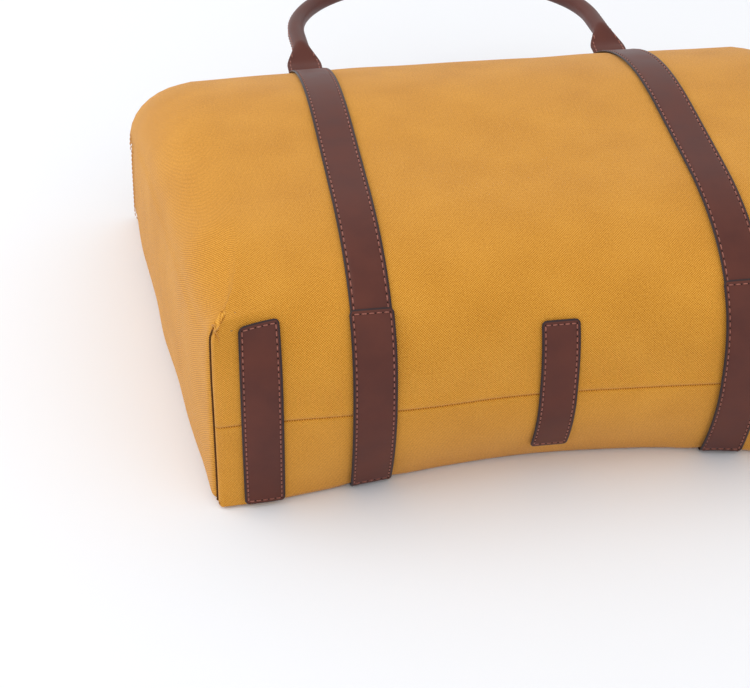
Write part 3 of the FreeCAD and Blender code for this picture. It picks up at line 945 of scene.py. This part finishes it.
class SLEEVE_OT_padding(bpy.types.Operator):
    """Make the foam and the lining that follow the canvas"""

    bl_idname = "sleeve.padding"
    bl_label = "Padding and Lining"

    def execute(self, context):
        gap = settings().canvas_wall / MM + 0.2
        for layer, side in ((front_layer, "front"), (back_layer, "back")):
            foam = layer("foam_" + side, gap, 6.0, RIM_SHORT)
            thicken(foam, settings().foam_wall)
            for vertex in foam.data.vertices:               # it rests on the back canvas
                vertex.co.z = max(vertex.co.z, (LYING + FOAM_REST) * MM)
            finish_piece(foam, closed_cell_foam(), "case", side + "_foam", smooth_angle=60)
            lining = layer("lining_" + side, INNER_INSET, 6.0, RIM_SHORT)
            thicken(lining, LINING_WALL * MM)
            finish_piece(lining, lining_cotton(), "case", smooth_angle=60)
            if side == "front":
                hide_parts("lining")
        return {"FINISHED"}


FRONT_FOLD = 2.0               # the front zip panel is set in this much further
RIM_PROFILE = ((0.3, -1.0), (0.5, 0.0), (1.6, 0.25), (3.6, 0.3), (5.8, 0.25), (7.3, -0.2),
               (7.7, -1.6), (7.8, -6.0), (7.8, -12.0), (7.8, -19.0))  # depth, height over rim
CANVAS_PITCH = 3.2             # stitches in the canvas


def rim_loop(inset, y):
    """Points right round the mouth, that far in from the canvas."""
    over = [(FRONT_END, c, True) for c in columns(True)]
    under = [(BACK_END, c, False) for c in reversed(columns(False))]
    found = []
    for s, column, front in over + under:
        reach = 0.0
        if front and abs(column[0]) <= 2 and inset > RIM_PROFILE[4][0]:
            reach = FRONT_FOLD * (1 - column[1])        # the front zip panel starts deeper
        p = cross_place(s, column, inset + reach, front)[0]
        found.append(Vector((p[0], y, p[2])))
    return found


def walk(points, pitch):
    """Even places along a chain of points, each with its direction."""
    found, carried = [], pitch / 2
    for one, other in zip(points, points[1:]):
        length = (other - one).length
        while carried < length:
            found.append((one.lerp(other, carried / length), other - one))
            carried += pitch
        carried -= length
    return found


class SLEEVE_OT_rim(bpy.types.Operator):
    """Make the canvas facing folded over the mouth, with its topstitching"""

    bl_idname = "sleeve.rim"
    bl_label = "Mouth Facing"

    def execute(self, context):
        loops = [rim_loop(inset, HEIGHT + y) for inset, y in RIM_PROFILE]
        around = len(loops[0])
        run = [0.0]
        for i in range(around):
            run.append(run[-1] + (loops[0][(i + 1) % around] - loops[0][i]).length)

        def place(i, j):
            return loops[j][i % around], (run[i], sum(RIM_PROFILE[j]))

        facing = grid_piece("rim_facing", around, len(RIM_PROFILE) - 1, place)
        outwards(facing)
        modify(facing, "SOLIDIFY", thickness=0.5 * MM, offset=-1.0)
        finish_piece(facing, canvas(), "case", "mouth_facing", smooth_angle=60)
        for inset_y in (4.0, 10.0):
            line = rim_loop(-0.12, HEIGHT - inset_y)
            places = [(p, t, Vector((0, 1, 0)).cross(t)) for p, t in walk(line, CANVAS_PITCH)]
            places = [(p, t, n if n.dot(p - Vector((0, HEIGHT, 60))) > 0 else -n)
                      for p, t, n in places]
            sew(f"rim_stitches_{inset_y:.0f}", places, CANVAS_PITCH, "case",
                canvas_thread(), 0.3)
        return {"FINISHED"}


SOFT_EDGE = 1.6                # roundness of a soft board's edges


def inner_half(y):
    """Half the room between the sides of the lining."""
    return half_width(y) - INNER_INSET - LINING_WALL - 1.2


def slab_walls(made, axis, thick, rounding):
    """Thickens a flat grid away from the high side of an axis and rounds its edges."""
    outwards(made)
    turn_over(made, sum(f.normal[axis] * f.area for f in made.data.polygons))
    modify(made, "SOLIDIFY", thickness=thick * MM, offset=-1.0)
    modify(made, "BEVEL", width=rounding * MM, segments=3, limit_method="ANGLE",
           angle_limit=math.radians(50))
    return made


def slab(name, low, high, wall_axis, across, along, swell=0.0):
    """A thin soft slab between two corners, in mm of the case, with rounded edges."""
    low, high = Vector(low), Vector(high)
    u, v = [k for k in range(3) if k != wall_axis]
    thick = high[wall_axis] - low[wall_axis]

    def place(i, j):
        a, b = i / across, j / along
        p = Vector(low)
        p[u], p[v] = mix(low[u], high[u], a), mix(low[v], high[v], b)
        crown = 16 * a * (1 - a) * b * (1 - b)
        p[wall_axis] = high[wall_axis] + swell * crown
        return p, (p[u], p[v])

    return slab_walls(grid_piece(name, across, along, place), wall_axis, thick,
                      min(thick * 0.42, SOFT_EDGE))


def case_box(node):
    """A node's box in mm of the case."""
    return [Vector((c[0] / MM, c[1] / MM - BOTTOM_Y, c[2] / MM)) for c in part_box(node)]


class SLEEVE_OT_inside(bpy.types.Operator):
    """Make the padded divider, its bound edge and the slip pocket"""

    bl_idname = "sleeve.inside"
    bl_label = "Divider and Pocket"

    def execute(self, context):
        low, high = case_box("divider")

        def board(name, bottom, top, z_low, z_high, material, node, swell):
            def place(i, j):
                y = mix(bottom, top, j / rows)
                x = mix(-1, 1, i / 60) * inner_half(y)
                crown = swell * (1 - (2 * i / 60 - 1) ** 4) * math.sin(math.pi * j / rows)
                return Vector((x, y, z_high + crown)), (x, y)

            rows = max(round((top - bottom) / 4), 3)
            made = slab_walls(grid_piece(name, 60, rows, place), 2, z_high - z_low, SOFT_EDGE)
            return finish_piece(made, material, "case", node, smooth_angle=50)

        divider = board("laptop_divider", low[1] + 4, high[1], low[2], high[2],
                        lining_cotton(), "divider", 0.8)
        low, high = case_box("divider_binding")
        board("divider_edge", low[1], high[1], low[2], high[2], brown_tape(),
              "divider_binding", 0.0)
        low, high = case_box("slip_pocket")
        start = bisect.bisect_left([p[0] for p in PROFILE], low[1])
        stop = bisect.bisect_left([p[0] for p in PROFILE], high[1])
        s_low, s_high = LENGTHS[start], LENGTHS[stop]
        depth = INNER_INSET + LINING_WALL + 0.3

        def place(i, j):
            s, x = mix(s_low, s_high, j / 30), mix(low[0], high[0], i / 40)
            sag = 3.0 * (j / 30) ** 3 * (1 - (i / 20 - 1) ** 2)
            return surface(s, x) - normal(s, x) * (depth + sag), (x, s)

        pocket = grid_piece("pocket_inside", 40, 30, place)
        outwards(pocket)
        modify(pocket, "SOLIDIFY", thickness=LINING_WALL * MM, offset=0.0)
        finish_piece(pocket, lining_cotton(), "case", "slip_pocket", smooth_angle=60)
        return {"FINISHED"}


# --------------------------------------------------------------- zip closure
TOOTH_PITCH = 2.8
GRIP_PITCH = 2.8


class SLEEVE_OT_zip(bpy.types.Operator):
    """Make the zip's canvas panels, tapes, metal teeth and leather pull"""

    bl_idname = "sleeve.zip"
    bl_label = "Zip Closure"

    def execute(self, context):
        middle = (case_box("front_zip_chain")[0][2] + case_box("back_zip_chain")[1][2]) / 2
        for side, sign in (("front", 1), ("back", -1)):
            body = side + "_flap"
            low, high = case_box(side + "_zip_panel")
            flap = slab("zip_flap_" + side, low, high, 1, 120, 12)
            finish_piece(flap, canvas(), body, side + "_zip_panel", smooth_angle=50)
            edge = low[2] if sign > 0 else high[2]
            for off in (2.0, 6.0):
                z = edge + sign * off
                line = [Vector((x, high[1] + 0.12, z)) for x in (low[0] + 4, high[0] - 4)]
                places = [(p, t, Vector((0, 1, 0))) for p, t in walk(line, CANVAS_PITCH)]
                sew(f"zip_flap_{side}_stitches_{off:.0f}", places, CANVAS_PITCH, body,
                    canvas_thread(), 0.28)
            tape = slab("zip_tape_piece_" + side, *case_box(side + "_zip_tape"), 1, 90, 4)
            finish_piece(tape, brown_tape(), body, side + "_zip_tape")
            low, high = case_box(side + "_zip_chain")
            self.teeth(side, sign, low, high, middle, body)
        self.grip()
        for side in ("left", "right"):
            paint("zip_end_panel_" + side, canvas(upright=True))
        for name in ("zip_stop_left", "zip_stop_right", "zip_slider", "zip_pull"):
            paint(name, antique_brass())
        return {"FINISHED"}

    def teeth(self, side, sign, low, high, middle, body):
        """A row of cast teeth on the edge of a tape."""
        bpy.ops.object.select_all(action="DESELECT")
        bpy.ops.mesh.primitive_cube_add(size=1)
        tooth = bpy.context.active_object
        tooth.scale = (TOOTH_PITCH * 0.46 * MM, (high[1] - low[1]) * MM, 2.9 * MM)
        bpy.ops.object.transform_apply(location=False, rotation=False, scale=True)
        modify(tooth, "BEVEL", width=0.3 * MM, segments=1)
        shape = [v.co.copy() for v in tooth.data.vertices]
        faces = [tuple(f.vertices) for f in tooth.data.polygons]
        bpy.data.objects.remove(tooth)
        points, made_faces = [], []
        count = int((high[0] - low[0]) / TOOTH_PITCH) - 1
        for k in range(count):
            x = low[0] + TOOTH_PITCH * (k + (1.0 if sign > 0 else 0.5))
            centre = in_frame((x, (low[1] + high[1]) / 2, middle + sign * 1.05))
            start = len(points)
            points += [centre + p for p in shape]
            made_faces += [tuple(start + i for i in f) for f in faces]
        finish_piece(build_piece("zip_teeth_" + side, points, made_faces), antique_brass(),
                     body, side + "_zip_chain", smooth_angle=30)

    def grip(self):
        """The leather grip on the zip pull."""
        low, high = case_box("pull_leather")
        made = slab("pull_grip", low, high, 1, 12, 4, swell=0.3)
        finish_piece(made, strap_leather(), "pull", "pull_leather", smooth_angle=50)
        places = []
        for z in (low[2] + 1.4, high[2] - 1.4):
            line = [Vector((x, high[1] + 0.1, z)) for x in (low[0] + 2, high[0] - 3)]
            places += [(p, t, Vector((0, 1, 0))) for p, t in walk(line, GRIP_PITCH)]
        sew("pull_grip_stitches", places, GRIP_PITCH, "pull", thread(), 0.26)


def paint(name, material):
    """Gives a node of the frame another material."""
    node = bpy.data.objects[name]
    if node.material_slots:
        for place in node.material_slots:
            place.material = material
    else:
        node.data.materials.append(material)


# ------------------------------------------------------------------- handles
FLAT_END, RISE, ROLLED = 22.0, 30.0, 5.5   # sewn end, straight rise, radius where rolled
HANDLE_GAP = 0.8                           # from the rim to a handle's end
HANDLE_REACH = 3.6                         # a handle's end runs this far past its path


def handle_path(d):
    """Place and direction on a handle that lies along Y, d mm from its left end."""
    ring = STRAP_X
    arc = math.pi * ring
    total = 2 * (FLAT_END + RISE) + arc
    if d <= FLAT_END + RISE:
        return Vector((-ring, d, 0)), Vector((0, 1, 0))
    if d >= FLAT_END + RISE + arc:
        return Vector((ring, total - d, 0)), Vector((0, -1, 0))
    turn = (d - FLAT_END - RISE) / ring
    spot = Vector((-ring * math.cos(turn), FLAT_END + RISE + ring * math.sin(turn), 0))
    return spot, Vector((math.sin(turn), math.cos(turn), 0))


def handle_piece(name, node, body, hinge_z, droop):
    """A handle cut in one strip: flat where it is sewn on and rolled round a cord between."""
    total = 2 * (FLAT_END + RISE) + math.pi * STRAP_X
    around = 28
    marks = spread(-HANDLE_REACH, FLAT_END + RISE, 1.6)
    marks += spread(FLAT_END + RISE, total / 2, 3.0)[1:]
    marks += [total - d for d in reversed(marks[:-1])]
    lean = Matrix.Rotation(math.radians(-droop), 3, "X")

    def body_shape(d):
        end = min(d, total - d)
        rolled = smooth((end - 9) / 20)
        half = mix(STRAP_WIDTH / 2, ROLLED, rolled)
        thick = mix(LEATHER_WALL / 2, ROLLED, rolled)
        power = mix(0.32, 1.0, rolled)
        return half, thick, power, rolled

    def spot(d, out, up):
        """A point out and up from the handle's middle line, in mm of the case."""
        centre, along = handle_path(d)
        across = Vector((along.y, -along.x, 0))
        p = centre + across * out + Vector((0, 0, 1)) * (up + body_shape(d)[1])
        if droop:
            run = min(d, total - d) + HANDLE_REACH
            p.z += (1 - smooth(run / 16)) * (run - 16) * 0.14
        return lean @ p + Vector((0, HEIGHT + HANDLE_GAP, hinge_z))

    def place(i, j):
        d = marks[j]
        half, thick, power, rolled = body_shape(d)
        turn = 2 * math.pi * i / around
        c, q = math.cos(turn), math.sin(turn)
        out = math.copysign(abs(c) ** power, c) * half
        up = math.copysign(abs(q) ** power, q) * thick
        out += 0.5 * rolled * math.exp(-((turn - math.pi) / 0.22) ** 2)   # the sewn crease
        return spot(d, out, up), (turn * half, d)

    def close_ends():
        weld()
        bpy.ops.mesh.select_all(action="DESELECT")
        bpy.ops.mesh.select_non_manifold(extend=False)
        bpy.ops.mesh.fill_holes(sides=0)

    made = grid_piece(name, around, len(marks) - 1, place)
    in_edit_mode(made, close_ends)
    outwards(made)
    finish_piece(made, strap_leather(), None, node, smooth_angle=55)
    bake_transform(made)
    places = []
    for d in spread(24, total - 24, STRAP_PITCH):
        half, _, _, rolled = body_shape(d)
        if rolled < 0.3:
            continue
        along = spot(d + 0.5, -half, 0) - spot(d - 0.5, -half, 0)
        for up in (1.9, -1.9):
            p = spot(d, -5.05 * half / ROLLED, up)
            places.append((p, along, p - spot(d, 0, 0)))
    sew(name + "_stitches", places, STRAP_PITCH, body, thread(), 0.34)
    ends = []
    for d in spread(3, 17, STRAP_PITCH):
        for at in (d, total - d):
            half, thick = body_shape(at)[:2]
            along = spot(at + 0.5, 0, 0) - spot(at - 0.5, 0, 0)
            for out in (-(half - STITCH_INSET), half - STITCH_INSET):
                p = spot(at, out, thick * 0.96)
                ends.append((p, along, spot(at, out, thick + 1) - spot(at, out, thick)))
    sew(name + "_end_stitches", ends, STRAP_PITCH, body, thread(), 0.34)


class SLEEVE_OT_handles(bpy.types.Operator):
    """Make the two rolled leather handles"""

    bl_idname = "sleeve.handles"
    bl_label = "Rolled Handles"

    def execute(self, context):
        handle_piece("handle_front", "front_handle", "front_carry", RIM_Z, 8.0)
        handle_piece("handle_back", "back_handle", "back_carry", 0.0, 0.0)
        return {"FINISHED"}


# -------------------------------------------------------------------- stage
class SLEEVE_OT_stage(bpy.types.Operator):
    """Make the pale table, the soft light and the camera"""

    bl_idname = "sleeve.stage"
    bl_label = "Stage"

    def execute(self, context):
        bpy.ops.object.select_all(action="DESELECT")
        bpy.ops.mesh.primitive_plane_add(size=12, location=(0, 0, 0))
        floor = context.active_object
        floor.name = "table"
        floor.data.materials.append(base_material("white_paper_sweep", "#F0F2F6", 0.95)[0])
        scene = context.scene
        scene.view_settings.view_transform = "Standard"
        world = bpy.data.worlds.new("soft_room")
        world.use_nodes = True
        sky = world.node_tree.nodes["Background"]
        sky.inputs["Color"].default_value = (1, 1, 1, 1)
        sky.inputs["Strength"].default_value = 0.9
        scene.world = world
        for name, place, size, power in (("window", (-1.5, 0.1, 1.7), 1.8, settings().key_power),
                                         ("room", (0.6, -1.8, 1.2), 2.0, 3.5)):
            light = bpy.data.lights.new(name, "AREA")
            light.energy = power
            light.size = size
            lamp = bpy.data.objects.new(name, light)
            lamp.location = place
            aim = Vector((0, -0.1, 0.05)) - Vector(place)
            lamp.rotation_euler = aim.to_track_quat("-Z", "Y").to_euler()
            scene.collection.objects.link(lamp)
        camera_data = bpy.data.cameras.new("camera")
        camera_data.sensor_width = 36
        camera_data.lens = 92.4
        camera = bpy.data.objects.new("camera", camera_data)
        turn, tilt, roll = (math.radians(a) for a in (8.961, 37.289, 0.823))
        back = Vector((-math.sin(turn) * math.cos(tilt), -math.cos(turn) * math.cos(tilt),
                       math.sin(tilt)))
        level = Vector((math.cos(turn), -math.sin(turn), 0))
        upright = back.cross(level)
        right = level * math.cos(roll) + upright * math.sin(roll)
        up = back.cross(right)
        camera.matrix_world = (Matrix.Translation(in_frame((-222.9, -777.2, 707.7)))
                               @ Matrix((right, up, back)).transposed().to_4x4())
        scene.collection.objects.link(camera)
        scene.camera = camera
        return {"FINISHED"}


class SLEEVE_PT_panel(bpy.types.Panel):
    """Lists the steps that make the sleeve"""

    bl_label = "Canvas Laptop Sleeve"
    bl_space_type = "VIEW_3D"
    bl_region_type = "UI"
    bl_category = "Sleeve"

    def draw(self, context):
        for name in SleeveSettings.__annotations__:
            self.layout.prop(context.scene.sleeve, name)
        for step in STEPS:
            self.layout.operator(step.bl_idname)


STEPS = (SLEEVE_OT_canvas, SLEEVE_OT_padding, SLEEVE_OT_rim, SLEEVE_OT_inside,
         SLEEVE_OT_tabs, SLEEVE_OT_straps, SLEEVE_OT_handles, SLEEVE_OT_zip, SLEEVE_OT_stage)


def register():
    bpy.utils.register_class(SleeveSettings)
    for step in STEPS:
        bpy.utils.register_class(step)
    bpy.utils.register_class(SLEEVE_PT_panel)
    bpy.types.Scene.sleeve = PointerProperty(type=SleeveSettings)


def unregister():
    del bpy.types.Scene.sleeve
    bpy.utils.unregister_class(SLEEVE_PT_panel)
    for step in reversed(STEPS):
        bpy.utils.unregister_class(step)
    bpy.utils.unregister_class(SleeveSettings)


def main():
    register()
    for step in STEPS:
        group, name = step.bl_idname.split(".")
        getattr(getattr(bpy.ops, group), name)()


if __name__ == "__main__":
    main()
